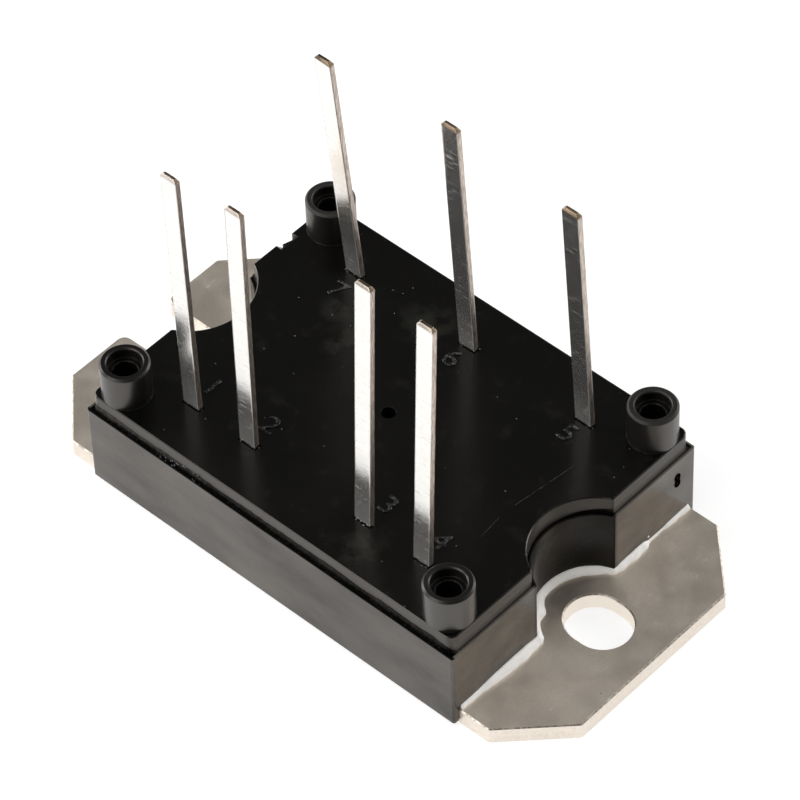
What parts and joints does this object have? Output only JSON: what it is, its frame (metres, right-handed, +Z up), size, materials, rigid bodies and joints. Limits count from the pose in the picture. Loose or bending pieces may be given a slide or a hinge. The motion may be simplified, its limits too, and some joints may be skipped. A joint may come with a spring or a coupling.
{
  "type": "three-phase bridge rectifier module",
  "caption": "Power rectifier module: black housing on a nickel-plated base plate, flat solder pins through the lid, screw posts on its corners, slots for heatsink screws.",
  "frame": {"origin": "centre of the base plate's underside", "axes": "+X along the module from the open slot to the oval slot, +Y from the four-pin row to the three-pin row, +Z up along the pins"},
  "size_m": [0.063, 0.0326, 0.0402],
  "materials": {
    "nickel_plate": "satin nickel plating on copper, faint speckle",
    "black_frame": "smooth moulded",
    "black_lid": "semi-gloss moulded",
    "black_adhesive": "glossy cured glue",
    "clear_gel": "soft clear gel, hidden",
    "white_sealant": "matte",
    "solder": "dull",
    "tinned_copper": "matte tin, copper showing at the cut edges",
    "bare_copper": "satin",
    "alumina": "matte white",
    "silicon": "polished dark grey"
  },
  "bodies": {
    "root": {"base_plate": "nickel_plate", "base_solder": "solder", "chip_solder_high_1": "solder", "chip_solder_high_2": "solder", "chip_solder_high_3": "solder", "chip_solder_low_1": "solder", "chip_solder_low_2": "solder", "chip_solder_low_3": "solder", "clip_high_1": "bare_copper", "clip_high_2": "bare_copper", "clip_high_3": "bare_copper", "clip_low_1": "bare_copper", "clip_low_2": "bare_copper", "clip_low_3": "bare_copper", "diode_chip_high_1": "silicon", "diode_chip_high_2": "silicon", "diode_chip_high_3": "silicon", "diode_chip_low_1": "silicon", "diode_chip_low_2": "silicon", "diode_chip_low_3": "silicon", "housing_frame": "black_frame", "lid": "black_lid", "lid_adhesive": "black_adhesive", "pad_minus": "bare_copper", "pad_phase_1": "bare_copper", "pad_phase_2": "bare_copper", "pad_phase_3": "bare_copper", "pad_plus": "bare_copper", "pin_1": "tinned_copper", "pin_2": "tinned_copper", "pin_3": "tinned_copper", "pin_4": "tinned_copper", "pin_5": "tinned_copper", "pin_6": "tinned_copper", "pin_7": "tinned_copper", "pin_solder_1": "solder", "pin_solder_2": "solder", "pin_solder_3": "solder", "pin_solder_4": "solder", "pin_solder_5": "solder", "pin_solder_6": "solder", "pin_solder_7": "solder", "sealant_bead_far": "white_sealant", "sealant_bead_near": "white_sealant", "silicone_gel": "clear_gel", "substrate_bottom_copper": "bare_copper", "substrate_ceramic": "alumina"}
  },
  "joints": []
}
